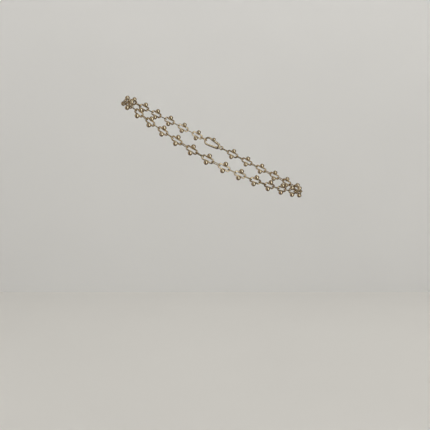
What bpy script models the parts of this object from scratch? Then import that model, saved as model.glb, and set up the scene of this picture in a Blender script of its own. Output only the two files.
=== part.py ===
"""A fine chain anklet, modelled as it lies when it is worn.

Oval wire rings with two soldered balls alternate with small oval wire links. The chain is a closed
loop, fastened by a claw clasp and a jump ring on the side away from the viewer. Metres, +Z up, +X to
the viewer's right, +Y away from the viewer. The origin is the middle of the ankle.
"""

import bisect
import math
from collections import namedtuple

import bmesh
import bpy
from mathutils import Matrix, Vector

# Ball rings
RING_LENGTH = 0.0060
RING_EYE_WIDTH = 0.0025
RING_WAIST_WIDTH = 0.0023
RING_WIRE = 0.0007
BALL_DIAMETER = 0.0021
BALL_BITE = 0.0006

# Small links
LINK_WIRE = 0.00042
LINK_SIDE_PLAY = 0.00024
RING_TO_RING = 0.0020

# Jump ring
JUMP_RING_DIAMETER = 0.0040
JUMP_RING_WIRE = 0.0006

# Clasp
CLASP_LENGTH = 0.0103
CLASP_HOOK_WIDTH = 0.0042
CLASP_BACK_WIDTH = 0.0034
CLASP_HOOK_WIRE = 0.0008
CLASP_BACK_WIRE = 0.0013
CLASP_EYE_WIDTH = 0.0021
CLASP_EYE_WIRE = 0.0006
CLASP_TAB_DIAMETER = 0.0016

# Clearance between two wires that hang in each other
PLAY = 0.0001

# Chain
BALL_RING_COUNT = 27
RING_BEFORE_CLASP = 21

# The way of the chain round the ankle, from its left end along the near side and back along the far
# side. It is stretched evenly until the chain closes. Lean is how many degrees the top of a ring
# tips away from the leg.
# across, depth, height, lean
ROUTE = (
    (-0.0400, 0.0000, 0.0210, -37),
    (-0.0368, -0.0082, 0.0195, -35),
    (-0.0270, -0.0184, 0.0131, -8),
    (-0.0150, -0.0264, 0.0060, 0),
    (-0.0015, -0.0305, -0.0016, -3),
    (0.0125, -0.0275, -0.0088, 8),
    (0.0260, -0.0205, -0.0150, 16),
    (0.0366, -0.0100, -0.0193, -8),
    (0.0412, 0.0000, -0.0212, 4),
    (0.0366, 0.0095, -0.0193, 0),
    (0.0260, 0.0190, -0.0150, 0),
    (0.0125, 0.0250, -0.0088, 0),
    (-0.0015, 0.0270, -0.0016, 0),
    (-0.0150, 0.0240, 0.0060, 0),
    (-0.0270, 0.0170, 0.0131, -10),
    (-0.0368, 0.0078, 0.0195, -35),
)

# How far some small links have rolled over, by the number of the ball ring before them, as shares of
# the most that the rings let them on a straight chain. Where the chain bends they have less room.
LINK_ROLL = {4: 0.75, 5: 0.90, 7: 0.75, 8: 0.75}
UPRIGHT = math.radians(90)

# Facets
WIRE_BEVEL_RESOLUTION = 1
RING_END_SEGMENTS = 6
LINK_END_SEGMENTS = 4
HOOK_END_SEGMENTS = 8
ROUND_RING_SEGMENTS = 12
BALL_SEGMENTS = 10
BALL_RINGS = 6
SMOOTH_ANGLE = math.radians(50)

# Working out the route
ROUTE_STEPS = 24
STRETCH_TRIED = (0.8, 1.25)
BISECTIONS = 40

GOLD = (0.86, 0.66, 0.36, 1.0)
GOLD_ROUGHNESS = 0.16

# A piece of the chain: how far its two hinges lie from its middle, and its roll about the chain
Piece = namedtuple("Piece", "name kind before after roll")


def clear_scene():
    for obj in list(bpy.data.objects):
        bpy.data.objects.remove(obj, do_unlink=True)


def make_collection(name):
    collection = bpy.data.collections.new(name)
    bpy.context.scene.collection.children.link(collection)
    return collection


def gold_material(name):
    material = bpy.data.materials.new(name)
    material.use_nodes = True
    shader = material.node_tree.nodes["Principled BSDF"]
    shader.inputs["Base Color"].default_value = GOLD
    shader.inputs["Metallic"].default_value = 1.0
    shader.inputs["Roughness"].default_value = GOLD_ROUGHNESS
    material.diffuse_color = GOLD
    return material


def arc(centre_x, radius, start, end, segments):
    """Points of an arc in the XY plane, both ends included."""
    points = []
    for step in range(segments + 1):
        angle = start + (end - start) * step / segments
        points.append(Vector((centre_x + radius * math.cos(angle), radius * math.sin(angle), 0.0)))
    return points


def tapered_oval(front, front_radius, back, back_radius, front_segments, back_segments):
    """A closed centreline round two circles on the X axis, joined by their outer tangents."""
    tilt = math.asin((front_radius - back_radius) / (front - back))
    touch = math.pi / 2 + tilt
    points = arc(front, front_radius, -touch, touch, front_segments)
    points += arc(back, back_radius, touch, 2 * math.pi - touch, back_segments)
    return points


def oval(length, width, end_segments):
    """A closed centreline of two half circles and two straight sides."""
    centre = (length - width) / 2
    return tapered_oval(centre, width / 2, -centre, width / 2, end_segments, end_segments)


def waisted_oval(length, width, waist, end_segments):
    """An oval whose long sides are drawn in at their middle."""
    points = oval(length, width, end_segments)
    points.insert(end_segments + 1, Vector((0.0, waist / 2, 0.0)))
    points.append(Vector((0.0, -waist / 2, 0.0)))
    return points


def wire_mesh(name, points, wire, thickness=None):
    """A closed wire through the points. Thickness gives each point its own share of the wire."""
    curve = bpy.data.curves.new(name, "CURVE")
    curve.dimensions = "3D"
    curve.bevel_depth = wire / 2
    curve.bevel_resolution = WIRE_BEVEL_RESOLUTION
    spline = curve.splines.new("POLY")
    spline.points.add(len(points) - 1)
    spline.use_cyclic_u = True
    for index, point in enumerate(points):
        spline.points[index].co = (*point, 1.0)
        if thickness is not None:
            spline.points[index].radius = thickness[index]
    holder = bpy.data.objects.new(name, curve)
    bpy.context.scene.collection.objects.link(holder)
    depsgraph = bpy.context.evaluated_depsgraph_get()
    mesh = bpy.data.meshes.new_from_object(holder.evaluated_get(depsgraph))
    mesh.name = name
    bpy.data.objects.remove(holder, do_unlink=True)
    bpy.data.curves.remove(curve)
    return mesh


def ball_mesh(name, diameter, centre):
    mesh = bpy.data.meshes.new(name)
    shape = bmesh.new()
    bmesh.ops.create_uvsphere(
        shape, u_segments=BALL_SEGMENTS, v_segments=BALL_RINGS, radius=diameter / 2
    )
    bmesh.ops.translate(shape, verts=shape.verts, vec=centre)
    shape.to_mesh(mesh)
    shape.free()
    return mesh


def soldered(name, base, additions, cutters):
    """One solid from a base mesh and the meshes that are soldered to it."""
    holder = bpy.data.objects.new(name, base)
    bpy.context.scene.collection.objects.link(holder)
    for number, addition in enumerate(additions, start=1):
        piece = bpy.data.objects.new(f"{name}_addition_{number}", addition)
        piece.hide_render = True
        piece.display_type = "WIRE"
        cutters.objects.link(piece)
        union = holder.modifiers.new(f"solder_{number}", "BOOLEAN")
        union.operation = "UNION"
        union.object = piece
    depsgraph = bpy.context.evaluated_depsgraph_get()
    mesh = bpy.data.meshes.new_from_object(holder.evaluated_get(depsgraph))
    mesh.name = name
    bpy.data.objects.remove(holder, do_unlink=True)
    return mesh


def finished(mesh, material):
    mesh.shade_smooth()
    mesh.set_sharp_from_angle(angle=SMOOTH_ANGLE)
    mesh.materials.clear()
    mesh.materials.append(material)
    return mesh


def ball_ring_mesh(cutters):
    """An oval ring in the XY plane, along X, with a ball soldered to each side of its waist."""
    points = waisted_oval(
        RING_LENGTH - RING_WIRE,
        RING_EYE_WIDTH - RING_WIRE,
        RING_WAIST_WIDTH - RING_WIRE,
        RING_END_SEGMENTS,
    )
    ring = wire_mesh("ball_ring_wire", points, RING_WIRE)
    reach = (RING_WAIST_WIDTH + BALL_DIAMETER) / 2 - BALL_BITE
    balls = [
        ball_mesh(f"ball_{side}", BALL_DIAMETER, Vector((0.0, sign * reach, 0.0)))
        for side, sign in (("above", 1), ("below", -1))
    ]
    return finished(soldered("ball_ring", ring, balls, cutters), gold_material("polished_ball_ring"))


def link_length():
    """Outer length of a small link that spans the gap and holds both rings with play."""
    return RING_TO_RING + 2 * (RING_WIRE + PLAY + LINK_WIRE)


def link_middle_width():
    """Width of a small link between the middles of its wires, with a ring's wire in it."""
    return RING_WIRE + LINK_WIRE + 2 * LINK_SIDE_PLAY


def most_link_roll():
    """The roll at which a small link's side comes as near the ring's wire as play allows."""
    return math.acos((RING_WIRE + LINK_WIRE + 2 * PLAY) / link_middle_width())


def link_mesh():
    points = oval(link_length() - LINK_WIRE, link_middle_width(), LINK_END_SEGMENTS)
    return finished(wire_mesh("link", points, LINK_WIRE), gold_material("polished_link"))


def jump_ring_mesh():
    radius = (JUMP_RING_DIAMETER - JUMP_RING_WIRE) / 2
    points = arc(0.0, radius, 0.0, 2 * math.pi, ROUND_RING_SEGMENTS)[:-1]
    return finished(
        wire_mesh("jump_ring", points, JUMP_RING_WIRE), gold_material("polished_jump_ring")
    )


def clasp_mesh(cutters):
    """A closed claw along X: the hook at +X, the back and the eye at -X, a tab on its side."""
    eye_radius = (CLASP_EYE_WIDTH - CLASP_EYE_WIRE) / 2
    eye_centre = -CLASP_LENGTH / 2 + CLASP_EYE_WIDTH / 2
    eye = arc(eye_centre, eye_radius, 0.0, 2 * math.pi, ROUND_RING_SEGMENTS)[:-1]
    hook_radius = (CLASP_HOOK_WIDTH - CLASP_HOOK_WIRE) / 2
    back_radius = (CLASP_BACK_WIDTH - CLASP_BACK_WIRE) / 2
    hook_end = (CLASP_LENGTH - CLASP_HOOK_WIRE) / 2
    back_end = eye_centre + eye_radius + CLASP_BACK_WIRE / 2
    points = tapered_oval(
        hook_end - hook_radius,
        hook_radius,
        back_end + back_radius,
        back_radius,
        HOOK_END_SEGMENTS,
        RING_END_SEGMENTS,
    )
    thickness = []
    for point in points:
        share = (point.x - back_end) / (hook_end - back_end)
        thickness.append(1.0 + share * (CLASP_HOOK_WIRE / CLASP_BACK_WIRE - 1.0))
    claw = wire_mesh("claw_wire", points, CLASP_BACK_WIRE, thickness)
    tab_place = Vector(((hook_end + back_end) / 2, CLASP_HOOK_WIDTH / 2, 0.0))
    additions = [
        wire_mesh("claw_eye", eye, CLASP_EYE_WIRE),
        ball_mesh("claw_tab", CLASP_TAB_DIAMETER, tab_place),
    ]
    return finished(soldered("clasp", claw, additions, cutters), gold_material("polished_clasp"))


def hold(wire, other_wire):
    """How far inside a wire's end its hinge lies: halfway to the middle of the wire it holds."""
    return (wire / 2 + other_wire / 2 + PLAY) / 2


def chain_pieces():
    """Every piece of the chain in order, each held by the one before and the one after."""
    ring_end = (RING_LENGTH - RING_WIRE) / 2
    link_end = (link_length() - LINK_WIRE) / 2
    jump_end = (JUMP_RING_DIAMETER - JUMP_RING_WIRE) / 2
    eye_end = (CLASP_LENGTH - CLASP_EYE_WIRE) / 2
    hook_end = (CLASP_LENGTH - CLASP_HOOK_WIRE) / 2
    pieces = []
    wire_before = LINK_WIRE
    for number in range(1, BALL_RING_COUNT + 1):
        before_clasp = number == RING_BEFORE_CLASP
        wire_after = CLASP_EYE_WIRE if before_clasp else RING_WIRE
        pieces.append(Piece(
            f"ball_ring_{number:02d}",
            "ball_ring",
            ring_end - hold(RING_WIRE, wire_before),
            ring_end - hold(RING_WIRE, LINK_WIRE),
            0,
        ))
        pieces.append(Piece(
            f"link_{number:02d}",
            "link",
            link_end - hold(LINK_WIRE, RING_WIRE),
            link_end - hold(LINK_WIRE, wire_after),
            UPRIGHT - LINK_ROLL.get(number, 0) * most_link_roll(),
        ))
        wire_before = LINK_WIRE
        if before_clasp:
            pieces.append(Piece(
                "clasp",
                "clasp",
                eye_end - hold(CLASP_EYE_WIRE, LINK_WIRE),
                hook_end - hold(CLASP_HOOK_WIRE, JUMP_RING_WIRE),
                0,
            ))
            pieces.append(Piece(
                "jump_ring",
                "jump_ring",
                jump_end - hold(JUMP_RING_WIRE, CLASP_HOOK_WIRE),
                jump_end - hold(JUMP_RING_WIRE, RING_WIRE),
                UPRIGHT,
            ))
            wire_before = JUMP_RING_WIRE
    return pieces


def smooth_route():
    """A closed curve through the route's points, as rows of place and lean."""
    rows = [Vector(row) for row in ROUTE]
    count = len(rows)
    samples = []
    for index in range(count):
        before, start, end, after = (rows[(index + shift) % count] for shift in (-1, 0, 1, 2))
        for step in range(ROUTE_STEPS):
            t = step / ROUTE_STEPS
            samples.append(
                0.5 * (
                    2 * start
                    + t * (end - before)
                    + t * t * (2 * before - 5 * start + 4 * end - after)
                    + t * t * t * (3 * start - before - 3 * end + after)
                )
            )
    return samples


class Route:
    """The sampled curve, stretched by a factor, read by the length along it."""

    def __init__(self, samples, stretch):
        self.places = [sample.to_3d() * stretch for sample in samples]
        self.leans = [sample[3] for sample in samples]
        self.lengths = [0.0]
        for index, place in enumerate(self.places):
            following = self.places[(index + 1) % len(self.places)]
            self.lengths.append(self.lengths[-1] + (following - place).length)
        self.total = self.lengths[-1]

    def at(self, length):
        """Place and lean at a length along the curve, which runs on past its end."""
        length = length % self.total
        before = bisect.bisect_right(self.lengths, length) - 1
        after = (before + 1) % len(self.places)
        step = self.lengths[before + 1] - self.lengths[before]
        share = (length - self.lengths[before]) / step
        place = self.places[before].lerp(self.places[after], share)
        lean = self.leans[before] + share * (self.leans[after] - self.leans[before])
        return place, lean

    def chord_end(self, start, chord):
        """The length along the curve whose place lies a straight chord from that at start."""
        origin, _ = self.at(start)
        near = start
        far = start + 2 * chord
        for _ in range(BISECTIONS):
            middle = (near + far) / 2
            if (self.at(middle)[0] - origin).length < chord:
                near = middle
            else:
                far = middle
        return (near + far) / 2

    def walk(self, chords):
        """The hinges of a chain laid along the curve, its first piece centred on the start."""
        hinges = [-chords[0] / 2]
        for chord in chords:
            hinges.append(self.chord_end(hinges[-1], chord))
        return hinges


def fitted_route(samples, chords):
    """The route stretched until the chain, laid along it, meets its own beginning."""
    guess = sum(chords) / Route(samples, 1.0).total
    low, high = (guess * share for share in STRETCH_TRIED)
    for _ in range(BISECTIONS):
        middle = (low + high) / 2
        route = Route(samples, middle)
        hinges = route.walk(chords)
        if hinges[-1] - hinges[0] > route.total:
            low = middle
        else:
            high = middle
    return Route(samples, (low + high) / 2)


def piece_frame(piece, first, second, lean):
    """A piece's place: X from hinge to hinge, Z out from the leg, Y up the leg, then its roll."""
    along = (second - first).normalized()
    out = along.cross(Vector((0.0, 0.0, 1.0))).normalized()
    up = out.cross(along)
    tip = math.radians(lean)
    leaning_up = up * math.cos(tip) + out * math.sin(tip)
    leaning_out = out * math.cos(tip) - up * math.sin(tip)
    middle = first.lerp(second, piece.before / (piece.before + piece.after))
    axes = Matrix((along, leaning_up, leaning_out)).transposed().to_4x4()
    return Matrix.Translation(middle) @ axes @ Matrix.Rotation(piece.roll, 4, "X")


def build():
    clear_scene()
    parts = make_collection("anklet")
    cutters = make_collection("cutters")
    meshes = {
        "ball_ring": ball_ring_mesh(cutters),
        "link": link_mesh(),
        "jump_ring": jump_ring_mesh(),
        "clasp": clasp_mesh(cutters),
    }
    ankle = bpy.data.objects.new("ankle_middle", None)
    parts.objects.link(ankle)

    pieces = chain_pieces()
    chords = [piece.before + piece.after for piece in pieces]
    route = fitted_route(smooth_route(), chords)
    hinges = route.walk(chords)
    for piece, start, end in zip(pieces, hinges, hinges[1:]):
        first, _ = route.at(start)
        second, _ = route.at(end)
        _, lean = route.at((start + end) / 2)
        body = bpy.data.objects.new(piece.name, meshes[piece.kind])
        parts.objects.link(body)
        body.parent = ankle
        body.matrix_world = piece_frame(piece, first, second, lean)


build()
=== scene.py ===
import math

import bpy
import numpy as np
from mathutils import Matrix, Vector


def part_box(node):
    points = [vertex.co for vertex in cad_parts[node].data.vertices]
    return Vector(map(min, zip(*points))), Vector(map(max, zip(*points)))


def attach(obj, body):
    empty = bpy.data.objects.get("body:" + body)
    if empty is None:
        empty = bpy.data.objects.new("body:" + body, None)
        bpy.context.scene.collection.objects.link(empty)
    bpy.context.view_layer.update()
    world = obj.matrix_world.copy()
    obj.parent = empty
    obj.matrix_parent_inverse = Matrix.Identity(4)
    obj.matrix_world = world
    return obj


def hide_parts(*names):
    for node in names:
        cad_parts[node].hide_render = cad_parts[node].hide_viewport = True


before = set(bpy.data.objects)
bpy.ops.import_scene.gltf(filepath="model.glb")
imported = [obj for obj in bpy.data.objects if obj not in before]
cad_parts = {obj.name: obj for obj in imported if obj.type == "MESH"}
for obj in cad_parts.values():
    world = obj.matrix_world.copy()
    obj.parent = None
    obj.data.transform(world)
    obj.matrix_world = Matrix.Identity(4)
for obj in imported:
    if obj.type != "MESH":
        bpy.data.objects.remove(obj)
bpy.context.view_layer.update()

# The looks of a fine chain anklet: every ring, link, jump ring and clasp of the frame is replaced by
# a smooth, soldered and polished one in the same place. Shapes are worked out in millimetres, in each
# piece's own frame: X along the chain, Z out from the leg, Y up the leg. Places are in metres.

MM = 0.001

# Ball rings, in millimetres
RING_LENGTH = 6.0
RING_EYE_WIDTH = 2.5
RING_WAIST_WIDTH = 2.3
RING_WIRE = 0.7
BALL_DIAMETER = 2.1
BALL_BITE = 0.6
BALL_SOLDER = 0.26

# Small links, in millimetres
LINK_LENGTH = 4.44
LINK_WIDTH = 2.02
LINK_WIRE = 0.42
SEAM_SWELL = 0.10
SEAM_LENGTH = 0.30

# Jump ring, in millimetres
JUMP_RING_DIAMETER = 4.0
JUMP_RING_WIRE = 0.6
JUMP_RING_CUT = 0.05
JUMP_RING_END_SHARE = 0.93

# Clasp, in millimetres
CLASP_LENGTH = 10.3
CLASP_HOOK_WIDTH = 4.2
CLASP_BACK_WIDTH = 3.4
CLASP_HOOK_WIRE = 0.8
CLASP_BACK_WIRE = 1.3
CLASP_EYE_WIDTH = 2.1
CLASP_EYE_WIRE = 0.6
CLASP_TAB_DIAMETER = 1.6
CLASP_SOLDER = 0.35
LEVER_CUT_DEPTH = 0.16
LEVER_CUT_WIDTH = 0.07
LEVER_PIVOT_SHARE = 0.12
LEVER_TIP_SHARE = 0.80
RIVET_DIAMETER = 0.62
RIVET_SINK_SHARE = 0.22
RIVET_PAST_PIVOT_SHARE = 0.08
RIVET_SOLDER = 0.05

# Mesh detail, in millimetres or steps
RING_VOXEL = 0.085
CLASP_VOXEL = 0.07
LINE_STEP = 0.08
WIRE_SIDES = 16
BALL_TURNS = 24
BALL_ROWS = 14
ARC_STEPS = 48
WAIST_STEPS = 60
JUMP_RING_STEPS = 96
SETTLE_ROUNDS = 8
SETTLE_STEPS = 2

# How far off a seam or a cut is put, in its own widths, where a wire's lower side has none
OUT_OF_REACH = 100

# Reading the frame's nodes: decimals of a metre, metres, and a slope
POINT_DECIMALS = 7
NEAR_END = 0.00005
OUTWARD_RISE = 0.1

# Finish: colours, noise scales per millimetre, spread and depths in millimetres, and shares
GOLD = (0.86, 0.72, 0.49)
WARM_GOLD = (0.80, 0.63, 0.38)
# Tarnish colour for specks, and also for painted shade: on the links all over and in the crevices at
# soldered joints.
TARNISH_AND_SHADE = (0.32, 0.25, 0.12)
PIECE_SPREAD = (90.0, 0.0, 40.0)
PATCH_SCALE = 0.9
PATCH_NOISE = (0.35, 0.70)
SPECK_NOISE = (0.58, 0.78)
SPECK_TARNISH = 0.35
# Share of the tarnish colour on the solder mark: solder colour at the link seam, painted shade in the
# crevices where balls, the clasp's eye and its tab meet their wire.
SOLDER_TARNISH_AND_CREVICE_SHADE = 0.55
SOLDER_ROUGHNESS = 0.2
WEAR_NOISE = (0.3, 0.7)
WEAR_LEAST = 0.7
WEAR_MOST = 1.4
RIPPLE_SCALE = 3.0
RIPPLE_DEPTH = 0.05
RIPPLE_STRENGTH = 0.10
SCRATCH_DEPTH = 0.01
SCRATCH_STRENGTH = 0.08

# Each kind's own finish: roughness, grains of wear per millimetre, and tarnish all over. On the links
# this darkening all over is painted shade.
BALL_RING_FINISH = (0.11, 9.0, 0.0)
# The links' tarnish all over is painted shade: their gold is the same as the rings'.
LINK_FINISH_AND_SHADE = (0.20, 12.0, 0.42)
JUMP_RING_FINISH = (0.17, 10.0, 0.1)
CLASP_FINISH = (0.16, 8.0, 0.0)

# Camera, in metres, degrees and millimetres of lens
CAMERA_PLACE = (0.00126, -0.4468, 0.0627)
CAMERA_DOWN = 12.0
CAMERA_LENS = 82.2
CAMERA_NEAREST = 0.01

# Stage, in metres
FLOOR_HEIGHT = -0.247
WALL_DISTANCE = 0.60
ROOM_DEPTH = 2.4
ROOM_WIDTH = 3.2
ROOM_HEIGHT = 1.8
FLOOR_PAINT = (0.73, 0.72, 0.69)
WALL_PAINT = (0.79, 0.79, 0.78)
PAINT_ROUGHNESS = 0.9
MOTTLE_SCALE = 6.0
MOTTLE_SHARE = 0.03

# Dark card beside the camera, in metres
CARD_DISTANCE = 0.50
CARD_LEFT = -0.50
CARD_RIGHT = 0.07
CARD_BOTTOM = -0.35
CARD_TOP = 0.45
CARD_CLOTH = (0.02, 0.02, 0.02)

# Light
COOL_LIGHT = (0.80, 0.885, 1.0)
CLEAR_LIGHT = (0.90, 0.94, 1.0)
WARM_LIGHT = (1.0, 0.94, 0.88)
OVERHEAD_LIGHT = (1.0, 0.99, 0.97)
ROOM_LIGHT = (1.0, 0.99, 0.975)
HORIZON_GLOW = (0.12, 0.096, 0.080)
OVERHEAD_GLOW = (0.055, 0.044, 0.037)
GLOW_FADE = 0.55

# Softboxes: azimuth and elevation in degrees, distance, width and height in metres, watts, colour
SOFTBOXES = {
    "window_right": (30, 8, 0.60, 0.46, 1.10, 2.70, COOL_LIGHT),
    "window_left": (-70, 8, 0.60, 0.56, 1.00, 0.65, WARM_LIGHT),
    "back_right": (160, 8, 0.60, 0.16, 1.10, 0.90, CLEAR_LIGHT),
    "back_left": (-150, 8, 0.60, 0.12, 1.00, 0.25, WARM_LIGHT),
    "overhead": (0, 82, 0.80, 0.60, 0.50, 0.80, OVERHEAD_LIGHT),
}

# Room lamps, in metres, degrees and watts: one overhead, and one that washes each wall
CEILING_PLACE = (0.0, -0.6, 1.45)
CEILING_WIDTH = 2.6
CEILING_DEPTH = 1.8
CEILING_POWER = 12.5
WASH_DISTANCE = 0.50
WASH_HEIGHT = 0.70
WASH_TILT = 62
WASH_WIDTH = 1.6
WASH_DEPTH = 0.5
WASH_POWER = 3.7
BACK_WASH_ACROSS = 0.30


# Objects

def new_object(name, data):
    made = bpy.data.objects.new(name, data)
    bpy.context.scene.collection.objects.link(made)
    return made


# Centrelines

def evenly(points, step):
    """The same closed line with points at an even spacing of about step."""
    points = np.vstack((points, points[:1]))
    lengths = np.concatenate(([0.0], np.cumsum(np.linalg.norm(np.diff(points, axis=0), axis=1))))
    count = round(lengths[-1] / step)
    places = np.linspace(0.0, lengths[-1], count, endpoint=False)
    return np.column_stack([np.interp(places, lengths, points[:, axis]) for axis in range(3)])


def arc(centre_x, radius, start, end, count=ARC_STEPS):
    """A round line in the XY plane, with its centre on the X axis."""
    angles = np.linspace(start, end, count)
    return np.column_stack((
        centre_x + radius * np.cos(angles),
        radius * np.sin(angles),
        np.zeros(count),
    ))


def tapered_oval(front, front_radius, back, back_radius):
    """A line round two circles on the X axis, joined by their outer tangents."""
    touch = math.pi / 2 + math.asin((front_radius - back_radius) / (front - back))
    return np.vstack((
        arc(front, front_radius, -touch, touch),
        arc(back, back_radius, touch, 2 * math.pi - touch),
    ))


def oval(length, width):
    centre = (length - width) / 2
    return tapered_oval(centre, width / 2, -centre, width / 2)


def waisted_oval(length, width, waist):
    """An oval whose long sides ease in to a waist at the middle."""
    centre = (length - width) / 2
    across = np.linspace(centre, -centre, WAIST_STEPS)[1:-1]
    half = waist / 2 + (width - waist) / 2 * (1 - np.cos(math.pi * across / centre)) / 2
    upper = np.column_stack((across, half, np.zeros_like(across)))
    lower = np.column_stack((-across, -half, np.zeros_like(across)))
    return np.vstack((
        arc(centre, width / 2, -math.pi / 2, math.pi / 2),
        upper,
        arc(-centre, width / 2, math.pi / 2, 3 * math.pi / 2),
        lower,
    ))


# Surfaces as distances, with the way straight out of them

def wire_surface(places, line, radii):
    """Distance from each place to a closed wire, and its outward way."""
    nearest = ((line ** 2).sum(1) - 2 * places @ line.T).argmin(1)
    best = None
    for start in ((nearest - 1) % len(line), nearest):
        end = (start + 1) % len(line)
        along = line[end] - line[start]
        offsets = places - line[start]
        share = np.clip((offsets * along).sum(1) / (along ** 2).sum(1), 0.0, 1.0)
        offsets = offsets - share[:, None] * along
        reach = np.linalg.norm(offsets, axis=1)
        distance = reach - radii[start] - share * (radii[end] - radii[start])
        outward = offsets / reach[:, None]
        if best is None:
            best = distance, outward
        else:
            nearer = distance < best[0]
            best = np.where(nearer, distance, best[0]), np.where(nearer[:, None], outward, best[1])
    return best


def ball_surface(places, centre, radius):
    offsets = places - np.asarray(centre)
    reach = np.linalg.norm(offsets, axis=1)
    return reach - radius, offsets / reach[:, None]


def soldered(first, second, fillet):
    """Two surfaces as one, with a fillet, and how far each place is on the fillet."""
    share = np.clip(0.5 + 0.5 * (second[0] - first[0]) / fillet, 0.0, 1.0)
    distance = second[0] + (first[0] - second[0]) * share - fillet * share * (1.0 - share)
    outward = first[1] * share[:, None] + second[1] * (1.0 - share[:, None])
    return distance, outward, 4.0 * share * (1.0 - share)


# Meshes

def swept(line, radii, sides=WIRE_SIDES, closed=True):
    """Points and faces of a round wire along a flat line in the XY plane."""
    ahead = np.roll(line, -1, axis=0)
    behind = np.roll(line, 1, axis=0)
    if not closed:
        ahead[-1] = line[-1]
        behind[0] = line[0]
    along = ahead - behind
    along /= np.linalg.norm(along, axis=1)[:, None]
    across = np.column_stack((along[:, 1], -along[:, 0], np.zeros(len(line))))
    turns = np.arange(sides) * 2 * math.pi / sides
    upward = np.array((0.0, 0.0, 1.0))
    ring = (
        across[:, None, :] * np.cos(turns)[None, :, None]
        + upward * np.sin(turns)[None, :, None]
    )
    points = (line[:, None, :] + ring * np.asarray(radii)[:, None, None]).reshape(-1, 3)
    count = len(line)
    faces = []
    for index in range(count if closed else count - 1):
        following = (index + 1) % count
        for side in range(sides):
            beside = (side + 1) % sides
            faces.append((
                index * sides + side,
                following * sides + side,
                following * sides + beside,
                index * sides + beside,
            ))
    if not closed:
        faces.append(tuple(range(sides)))
        faces.append(tuple(reversed(range((count - 1) * sides, count * sides))))
    return points, faces


def ball_points(centre, radius, turns=BALL_TURNS, rows=BALL_ROWS):
    """Points and faces of a rough ball, to be joined with others."""
    points = [(0.0, 0.0, radius)]
    for row in range(1, rows):
        tilt = math.pi * row / rows
        for turn in range(turns):
            angle = 2 * math.pi * turn / turns
            points.append((
                radius * math.sin(tilt) * math.cos(angle),
                radius * math.sin(tilt) * math.sin(angle),
                radius * math.cos(tilt),
            ))
    points.append((0.0, 0.0, -radius))
    last = len(points) - 1
    faces = []
    for turn in range(turns):
        beside = (turn + 1) % turns
        faces.append((0, 1 + turn, 1 + beside))
        for row in range(rows - 2):
            upper = 1 + row * turns
            lower = upper + turns
            faces.append((upper + turn, lower + turn, lower + beside, upper + beside))
        faces.append((last, last - turns + beside, last - turns + turn))
    return np.asarray(points) + np.asarray(centre), faces


def joined(name, shapes):
    """One mesh from several lists of points and faces."""
    points = []
    faces = []
    for shape_points, shape_faces in shapes:
        start = len(points)
        points.extend(shape_points)
        faces.extend(tuple(start + corner for corner in face) for face in shape_faces)
    mesh = bpy.data.meshes.new(name)
    mesh.from_pydata([tuple(point) for point in points], [], faces)
    return mesh


def fused(mesh, voxel):
    """The mesh's overlapping shells as one skin of small even faces."""
    holder = new_object(mesh.name, mesh)
    remesh = holder.modifiers.new("fuse", "REMESH")
    remesh.mode = "VOXEL"
    remesh.voxel_size = voxel
    depsgraph = bpy.context.evaluated_depsgraph_get()
    skin = bpy.data.meshes.new_from_object(holder.evaluated_get(depsgraph))
    bpy.data.objects.remove(holder)
    bpy.data.meshes.remove(mesh)
    return skin


def mesh_places(mesh):
    places = np.empty(len(mesh.vertices) * 3)
    mesh.vertices.foreach_get("co", places)
    return places.reshape(-1, 3)


def settled(mesh, surface):
    """The mesh laid exactly on the surface, its points evened out along it."""
    edges = np.empty(len(mesh.edges) * 2, int)
    mesh.edges.foreach_get("vertices", edges)
    edges = edges.reshape(-1, 2)
    places = mesh_places(mesh)
    neighbours = np.bincount(edges.ravel(), minlength=len(places))[:, None]
    for _ in range(SETTLE_ROUNDS):
        total = np.zeros_like(places)
        np.add.at(total, edges[:, 0], places[edges[:, 1]])
        np.add.at(total, edges[:, 1], places[edges[:, 0]])
        places = (places + total / neighbours) / 2
        for _ in range(SETTLE_STEPS):
            distance, outward, _ = surface(places)
            places -= distance[:, None] * outward / (outward ** 2).sum(1)[:, None]
    mesh.vertices.foreach_set("co", places.ravel())
    mesh.update()
    _, outward, fillet = surface(places)
    return finished(mesh, fillet, outward)


def finished(mesh, solder, outward=None):
    """The mesh in metres, smooth, with its solder and the crevices beside it marked for the material,
    which paints shade into those crevices.
    """
    # The mark makes solder duller and darker; where balls, eye and tab meet their wire, the darkening is
    # painted shade in the crevice.
    mark = mesh.attributes.new("solder", "FLOAT", "POINT")
    mark.data.foreach_set("value", np.asarray(solder, float))
    mesh.transform(Matrix.Scale(MM, 4))
    mesh.shade_smooth()
    if outward is not None:
        outward = outward / np.linalg.norm(outward, axis=1)[:, None]
        mesh.normals_split_custom_set_from_vertices(outward.tolist())
    mesh.update()
    return mesh


def ball_ring_mesh():
    line = evenly(
        waisted_oval(
            RING_LENGTH - RING_WIRE, RING_EYE_WIDTH - RING_WIRE, RING_WAIST_WIDTH - RING_WIRE
        ),
        LINE_STEP,
    )
    radii = np.full(len(line), RING_WIRE / 2)
    reach = (RING_WAIST_WIDTH + BALL_DIAMETER) / 2 - BALL_BITE
    centres = [(0.0, reach, 0.0), (0.0, -reach, 0.0)]

    def surface(places):
        wire = wire_surface(places, line, radii)
        above = ball_surface(places, centres[0], BALL_DIAMETER / 2)
        below = ball_surface(places, centres[1], BALL_DIAMETER / 2)
        is_above = places[:, 1] > 0
        ball = (
            np.where(is_above, above[0], below[0]),
            np.where(is_above[:, None], above[1], below[1]),
        )
        return soldered(wire, ball, BALL_SOLDER)

    shapes = [swept(line, radii)]
    shapes += [ball_points(centre, BALL_DIAMETER / 2) for centre in centres]
    return settled(fused(joined("ball_ring", shapes), RING_VOXEL), surface)


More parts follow.
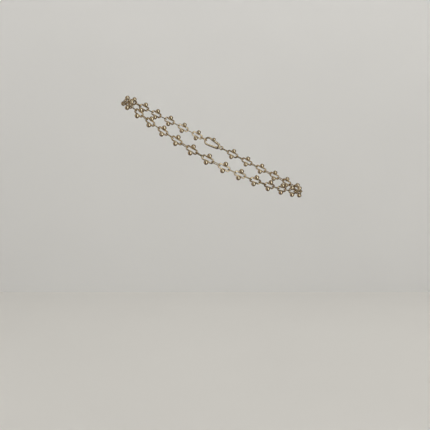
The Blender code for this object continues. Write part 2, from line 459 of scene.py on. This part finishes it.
def link_mesh():
    """A small oval link, a little swollen where its seam is soldered."""
    line = evenly(oval(LINK_LENGTH - LINK_WIRE, LINK_WIDTH - LINK_WIRE), LINE_STEP)
    from_seam = np.abs(line[:, 0]) / SEAM_LENGTH + (line[:, 1] < 0) * OUT_OF_REACH
    swell = np.exp(-(from_seam ** 2))
    radii = LINK_WIRE / 2 * (1 + SEAM_SWELL * swell)
    mesh = joined("link", [swept(line, radii)])
    return finished(mesh, np.repeat(swell, WIRE_SIDES))


def jump_ring_mesh():
    """A round ring, cut through where it is opened."""
    radius = (JUMP_RING_DIAMETER - JUMP_RING_WIRE) / 2
    half_cut = JUMP_RING_CUT / 2 / radius
    start = math.pi / 2
    points = arc(0.0, radius, start + half_cut, start + 2 * math.pi - half_cut, JUMP_RING_STEPS)
    radii = np.full(len(points), JUMP_RING_WIRE / 2)
    radii[[0, -1]] *= JUMP_RING_END_SHARE
    mesh = joined("jump_ring", [swept(points, radii, closed=False)])
    return finished(mesh, np.zeros(len(mesh.vertices)))


def clasp_mesh():
    """A closed claw: hook at +X, body and eye at -X, a lever with its tab along the upper side."""
    eye_centre = -CLASP_LENGTH / 2 + CLASP_EYE_WIDTH / 2
    eye_radius = (CLASP_EYE_WIDTH - CLASP_EYE_WIRE) / 2
    hook_radius = (CLASP_HOOK_WIDTH - CLASP_HOOK_WIRE) / 2
    back_radius = (CLASP_BACK_WIDTH - CLASP_BACK_WIRE) / 2
    hook_end = (CLASP_LENGTH - CLASP_HOOK_WIRE) / 2
    back_end = eye_centre + eye_radius + CLASP_BACK_WIRE / 2
    line = evenly(
        tapered_oval(hook_end - hook_radius, hook_radius, back_end + back_radius, back_radius),
        LINE_STEP / 2,
    )
    share = (line[:, 0] - back_end) / (hook_end - back_end)
    radii = (CLASP_BACK_WIRE + share * (CLASP_HOOK_WIRE - CLASP_BACK_WIRE)) / 2
    cuts = np.zeros(len(line))
    for place in (LEVER_PIVOT_SHARE, LEVER_TIP_SHARE):
        from_cut = (share - place) * (hook_end - back_end) / LEVER_CUT_WIDTH
        from_cut = from_cut + (line[:, 1] < 0) * OUT_OF_REACH
        cuts = np.maximum(cuts, np.exp(-(from_cut ** 2)))
    radii = radii * (1 - LEVER_CUT_DEPTH * cuts)
    eye = evenly(arc(eye_centre, eye_radius, 0.0, 2 * math.pi), LINE_STEP)
    eye_radii = np.full(len(eye), CLASP_EYE_WIRE / 2)
    tab_centre = ((hook_end + back_end) / 2, CLASP_HOOK_WIDTH / 2, 0.0)
    upper = line[:, 1] > 0
    pivot = line[upper][np.abs(share[upper] - LEVER_PIVOT_SHARE - RIVET_PAST_PIVOT_SHARE).argmin()]
    rivets = [
        (pivot[0], pivot[1], side * (CLASP_BACK_WIRE / 2 - RIVET_DIAMETER * RIVET_SINK_SHARE))
        for side in (-1, 1)
    ]

    def surface(places):
        body = soldered(
            wire_surface(places, line, radii), wire_surface(places, eye, eye_radii), CLASP_SOLDER
        )
        # The fillets of eye and tab with the body are marked; the material paints shade into these
        # crevices.
        on_joint = body[2]
        body = soldered(body, ball_surface(places, tab_centre, CLASP_TAB_DIAMETER / 2), CLASP_SOLDER)
        on_joint = np.maximum(on_joint, body[2])
        for rivet in rivets:
            body = soldered(body, ball_surface(places, rivet, RIVET_DIAMETER / 2), RIVET_SOLDER)
        return body[0], body[1], on_joint

    shapes = [swept(line, radii), swept(eye, eye_radii)]
    shapes.append(ball_points(tab_centre, CLASP_TAB_DIAMETER / 2))
    shapes += [ball_points(rivet, RIVET_DIAMETER / 2) for rivet in rivets]
    return settled(fused(joined("clasp", shapes), CLASP_VOXEL), surface)


# Material

def gold_material(name, roughness, grain, tarnish_and_shade):
    """Polished gold, warmer in patches, with specks of tarnish, fine scratches, duller solder, painted
    shade in the crevices where solder fills them, and on the links painted shade all over.
    """
    material = bpy.data.materials.new(name)
    material.use_nodes = True
    tree = material.node_tree
    nodes = tree.nodes
    shader = nodes["Principled BSDF"]
    shader.inputs["Metallic"].default_value = 1.0

    def node(kind, **values):
        made = nodes.new(kind)
        for key, value in values.items():
            if hasattr(made, key):
                setattr(made, key, value)
            else:
                made.inputs[key.replace("_", " ")].default_value = value
        return made

    def link(source, target):
        tree.links.new(source, target)

    def ranged(source, noise, bottom, top):
        """A source's values between two noise levels, laid onto bottom to top."""
        made = node(
            "ShaderNodeMapRange", From_Min=noise[0], From_Max=noise[1], To_Min=bottom, To_Max=top
        )
        link(source, made.inputs["Value"])
        return made.outputs["Result"]

    def mixed(under, over, share):
        """Two colours mixed by a share. The one under is a colour or another node's output."""
        made = node("ShaderNodeMix", data_type="RGBA")
        if isinstance(under, tuple):
            made.inputs["A"].default_value = (*under, 1.0)
        else:
            link(under, made.inputs["A"])
        made.inputs["B"].default_value = (*over, 1.0)
        link(share, made.inputs["Factor"])
        return made.outputs["Result"]

    # Places in millimetres, moved apart from piece to piece
    coordinates = node("ShaderNodeTexCoord")
    piece = node("ShaderNodeObjectInfo")
    millimetres = node("ShaderNodeVectorMath", operation="SCALE", Scale=1 / MM)
    link(coordinates.outputs["Object"], millimetres.inputs[0])
    spread = node("ShaderNodeCombineXYZ")
    link(piece.outputs["Random"], spread.inputs["X"])
    link(piece.outputs["Random"], spread.inputs["Z"])
    apart = node("ShaderNodeVectorMath", operation="MULTIPLY_ADD")
    link(spread.outputs["Vector"], apart.inputs[0])
    apart.inputs[1].default_value = PIECE_SPREAD
    link(millimetres.outputs["Vector"], apart.inputs[2])
    place = apart.outputs["Vector"]

    # Colour: warm patches, specks of tarnish over the kind's level (painted shade on the links), then the
    # solder mark, darker solder at the link seam and painted shade in the crevices
    patches = node("ShaderNodeTexNoise", Scale=PATCH_SCALE, Detail=3.0, Roughness=0.6)
    link(place, patches.inputs["Vector"])
    colour = mixed(GOLD, WARM_GOLD, ranged(patches.outputs["Fac"], PATCH_NOISE, 0.0, 1.0))
    fine = node("ShaderNodeTexNoise", Scale=grain, Detail=4.0, Roughness=0.65)
    link(place, fine.inputs["Vector"])
    # The kind's level under the specks darkens the whole piece; on the links it is painted shade.
    specks = ranged(fine.outputs["Fac"], SPECK_NOISE, tarnish_and_shade, tarnish_and_shade + SPECK_TARNISH)
    colour = mixed(colour, TARNISH_AND_SHADE, specks)
    # The solder mark: duller solder, darker at the link seam, and painted shade in the crevices where
    # balls, eye and tab meet their wire.
    solder = node("ShaderNodeAttribute", attribute_name="solder")
    solder_darkening_and_shade = node("ShaderNodeMath", operation="MULTIPLY")
    link(solder.outputs["Fac"], solder_darkening_and_shade.inputs[0])
    solder_darkening_and_shade.inputs[1].default_value = SOLDER_TARNISH_AND_CREVICE_SHADE
    colour = mixed(colour, TARNISH_AND_SHADE, solder_darkening_and_shade.outputs["Value"])
    link(colour, shader.inputs["Base Color"])

    # Roughness: wear, and duller solder
    wear = ranged(fine.outputs["Fac"], WEAR_NOISE, roughness * WEAR_LEAST, roughness * WEAR_MOST)
    dulled = node("ShaderNodeMath", operation="MULTIPLY_ADD")
    link(solder.outputs["Fac"], dulled.inputs[0])
    dulled.inputs[1].default_value = SOLDER_ROUGHNESS
    link(wear, dulled.inputs[2])
    link(dulled.outputs["Value"], shader.inputs["Roughness"])

    # Relief: soft ripples, then scratches
    ripples = node("ShaderNodeTexNoise", Scale=RIPPLE_SCALE, Detail=2.0)
    link(place, ripples.inputs["Vector"])
    rippled = node("ShaderNodeBump", Strength=RIPPLE_STRENGTH, Distance=RIPPLE_DEPTH * MM)
    link(ripples.outputs["Fac"], rippled.inputs["Height"])
    scratched = node("ShaderNodeBump", Strength=SCRATCH_STRENGTH, Distance=SCRATCH_DEPTH * MM)
    link(fine.outputs["Fac"], scratched.inputs["Height"])
    link(rippled.outputs["Normal"], scratched.inputs["Normal"])
    link(scratched.outputs["Normal"], shader.inputs["Normal"])
    return material


# Places from the frame

def node_points(name):
    """A node's own points, each once."""
    return np.unique(mesh_places(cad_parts[name].data).round(POINT_DECIMALS), axis=0)


def middle_of(name):
    low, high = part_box(name)
    return (low + high) / 2


def end_along(points, way):
    """The middle of the points that reach furthest along a way."""
    reach = points @ way
    return points[reach > reach.max() - NEAR_END].mean(0)


def piece_frame(name, before, after):
    """Where a node lies: X along the chain from the piece before to the one after, Z out from the leg."""
    points = node_points(name)
    rough = np.asarray((middle_of(after) - middle_of(before)).normalized())
    start = end_along(points, -rough)
    end = end_along(points, rough)
    along = Vector(end - start).normalized()
    flat = Vector(np.linalg.eigh(np.cov(points.T))[1][:, 0])
    flat = (flat - along * flat.dot(along)).normalized()
    middle = Vector((start + end) / 2)
    outward = Vector((middle.x, middle.y, OUTWARD_RISE * abs(middle.x)))
    if flat.dot(outward) < 0:
        flat = -flat
    axes = Matrix((along, flat.cross(along), flat)).transposed().to_4x4()
    return Matrix.Translation(middle) @ axes


def clasp_nearness(name):
    """Least for the link that the clasp's eye holds: near the clasp, and away from the jump ring."""
    place = middle_of(name)
    to_clasp = (place - middle_of("clasp")).length
    to_jump_ring = (place - middle_of("jump_ring")).length
    return to_clasp - to_jump_ring / 2


def chain_order():
    """The names of the nodes in the order of the chain."""
    rings = sorted(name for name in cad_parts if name.startswith("ball_ring_"))
    names = []
    for ring in rings:
        number = ring[-2:]
        names.extend((ring, f"link_{number}"))
    links = [name for name in names if name.startswith("link_")]
    place = names.index(min(links, key=clasp_nearness)) + 1
    return names[:place] + ["clasp", "jump_ring"] + names[place:]


def dress_chain():
    """Each node's smooth piece, in its place, with its kind's gold."""
    kinds = {
        "ball_ring": (ball_ring_mesh(), gold_material("ball_ring_gold", *BALL_RING_FINISH), "ball_rings"),
        "link": (link_mesh(), gold_material("link_gold", *LINK_FINISH_AND_SHADE), "links"),
        "jump_ring": (jump_ring_mesh(), gold_material("jump_ring_gold", *JUMP_RING_FINISH), "jump_ring"),
        "clasp": (clasp_mesh(), gold_material("clasp_gold", *CLASP_FINISH), "clasp"),
    }
    names = chain_order()
    for index, name in enumerate(names):
        kind = name.rstrip("0123456789").rstrip("_")
        mesh, material, slot = kinds[kind]
        own = mesh.copy()
        own.materials.append(material)
        piece = new_object(f"polished_{name}", own)
        piece.matrix_world = piece_frame(name, names[index - 1], names[(index + 1) % len(names)])
        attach(piece, "root")
        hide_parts(name)


# Camera, stage and light

def make_camera():
    camera = new_object("camera", bpy.data.cameras.new("camera"))
    camera.location = CAMERA_PLACE
    camera.rotation_euler = (math.radians(90 - CAMERA_DOWN), 0.0, 0.0)
    camera.data.lens = CAMERA_LENS
    camera.data.clip_start = CAMERA_NEAREST
    bpy.context.scene.camera = camera


def stage_material(name, colour):
    """Matt paint or cloth with a faint mottle."""
    material = bpy.data.materials.new(name)
    material.use_nodes = True
    tree = material.node_tree
    shader = tree.nodes["Principled BSDF"]
    shader.inputs["Roughness"].default_value = PAINT_ROUGHNESS
    shader.inputs["Specular IOR Level"].default_value = 0.0
    coordinates = tree.nodes.new("ShaderNodeTexCoord")
    mottle = tree.nodes.new("ShaderNodeTexNoise")
    mottle.inputs["Scale"].default_value = MOTTLE_SCALE
    tint = tree.nodes.new("ShaderNodeMix")
    tint.data_type = "RGBA"
    tint.inputs["A"].default_value = (*((1 - MOTTLE_SHARE) * value for value in colour), 1.0)
    tint.inputs["B"].default_value = (*((1 + MOTTLE_SHARE) * value for value in colour), 1.0)
    tree.links.new(coordinates.outputs["Object"], mottle.inputs["Vector"])
    tree.links.new(mottle.outputs["Fac"], tint.inputs["Factor"])
    tree.links.new(tint.outputs["Result"], shader.inputs["Base Color"])
    return material


def plane(name, corners, material, mirrored=False):
    """A sheet that isn't part of the object. The gold shows it only if it is mirrored."""
    mesh = bpy.data.meshes.new(name)
    mesh.from_pydata(corners, [], [(0, 1, 2, 3)])
    mesh.materials.append(material)
    sheet = new_object(name, mesh)
    sheet.visible_glossy = mirrored
    return sheet


def make_stage():
    """A plain pale floor with plain pale walls round it."""
    left, right = -ROOM_WIDTH / 2, ROOM_WIDTH / 2
    front, back = WALL_DISTANCE - ROOM_DEPTH, WALL_DISTANCE
    ground = [
        (left, front, FLOOR_HEIGHT),
        (right, front, FLOOR_HEIGHT),
        (right, back, FLOOR_HEIGHT),
        (left, back, FLOOR_HEIGHT),
    ]
    plane("floor", ground, stage_material("pale_floor", FLOOR_PAINT))
    paint = stage_material("pale_wall", WALL_PAINT)
    top = FLOOR_HEIGHT + ROOM_HEIGHT
    names = ("wall_front", "wall_right", "wall_back", "wall_left")
    for index, name in enumerate(names):
        start = ground[index]
        end = ground[(index + 1) % len(ground)]
        plane(name, [start, end, (*end[:2], top), (*start[:2], top)], paint)


def lamp(name, width, height, power, colour):
    """A soft rectangular lamp that shines along its own -Z, and that the camera doesn't see."""
    light = bpy.data.lights.new(name, "AREA")
    light.shape = "RECTANGLE"
    light.size = width
    light.size_y = height
    light.energy = power
    light.color = colour
    holder = new_object(name, light)
    holder.visible_camera = False
    return holder


def softbox(name, azimuth, elevation, distance, width, height, power, colour):
    """A lamp for the gold alone, which faces it. Azimuth 0 is towards the camera."""
    turn = math.radians(azimuth)
    rise = math.radians(elevation)
    way = Vector((
        math.sin(turn) * math.cos(rise), -math.cos(turn) * math.cos(rise), math.sin(rise)
    ))
    holder = lamp(name, width, height, power, colour)
    holder.location = way * distance
    holder.rotation_euler = way.to_track_quat("Z", "Y").to_euler()
    holder.visible_diffuse = False


def room_lamp(name, place, tilt, turn, width, height, power):
    """A lamp for the floor and the walls alone. Tilt lifts it towards +Y, and turn swings it round."""
    holder = lamp(name, width, height, power, ROOM_LIGHT)
    holder.location = place
    holder.rotation_euler = (math.radians(tilt), 0.0, math.radians(turn))
    holder.visible_glossy = False


def make_lights():
    for name, values in SOFTBOXES.items():
        softbox(name, *values)
    room_lamp("ceiling", CEILING_PLACE, 0, 0, CEILING_WIDTH, CEILING_DEPTH, CEILING_POWER)
    middle = WALL_DISTANCE - ROOM_DEPTH / 2
    washes = {
        "back": (BACK_WASH_ACROSS, WALL_DISTANCE - WASH_DISTANCE, 0),
        "left": (WASH_DISTANCE - ROOM_WIDTH / 2, middle, 90),
        "front": (0.0, WALL_DISTANCE - ROOM_DEPTH + WASH_DISTANCE, 180),
        "right": (ROOM_WIDTH / 2 - WASH_DISTANCE, middle, 270),
    }
    for side, (across, depth, turn) in washes.items():
        place = (across, depth, WASH_HEIGHT)
        room_lamp(f"wash_{side}", place, WASH_TILT, turn, WASH_WIDTH, WASH_DEPTH, WASH_POWER)


def make_card():
    """A dark card beside the camera, which keeps the middle of each round surface dark."""
    corners = [
        (CARD_LEFT, -CARD_DISTANCE, CARD_BOTTOM),
        (CARD_RIGHT, -CARD_DISTANCE, CARD_BOTTOM),
        (CARD_RIGHT, -CARD_DISTANCE, CARD_TOP),
        (CARD_LEFT, -CARD_DISTANCE, CARD_TOP),
    ]
    card = plane("dark_card", corners, stage_material("dark_cloth", CARD_CLOTH), mirrored=True)
    card.visible_camera = False
    card.visible_diffuse = False
    card.visible_shadow = False


def make_world():
    """A soft glow all round, brighter at the horizon and below it than overhead."""
    world = bpy.data.worlds.new("room")
    bpy.context.scene.world = world
    world.use_nodes = True
    tree = world.node_tree
    background = tree.nodes["Background"]
    coordinates = tree.nodes.new("ShaderNodeTexCoord")
    split = tree.nodes.new("ShaderNodeSeparateXYZ")
    ramp = tree.nodes.new("ShaderNodeValToRGB")
    horizon, overhead = ramp.color_ramp.elements
    horizon.color = (*HORIZON_GLOW, 1.0)
    overhead.color = (*OVERHEAD_GLOW, 1.0)
    overhead.position = GLOW_FADE
    tree.links.new(coordinates.outputs["Generated"], split.inputs["Vector"])
    tree.links.new(split.outputs["Z"], ramp.inputs["Fac"])
    tree.links.new(ramp.outputs["Color"], background.inputs["Color"])


bpy.context.scene.view_settings.view_transform = "Standard"
make_camera()
make_stage()
make_lights()
make_card()
make_world()
dress_chain()
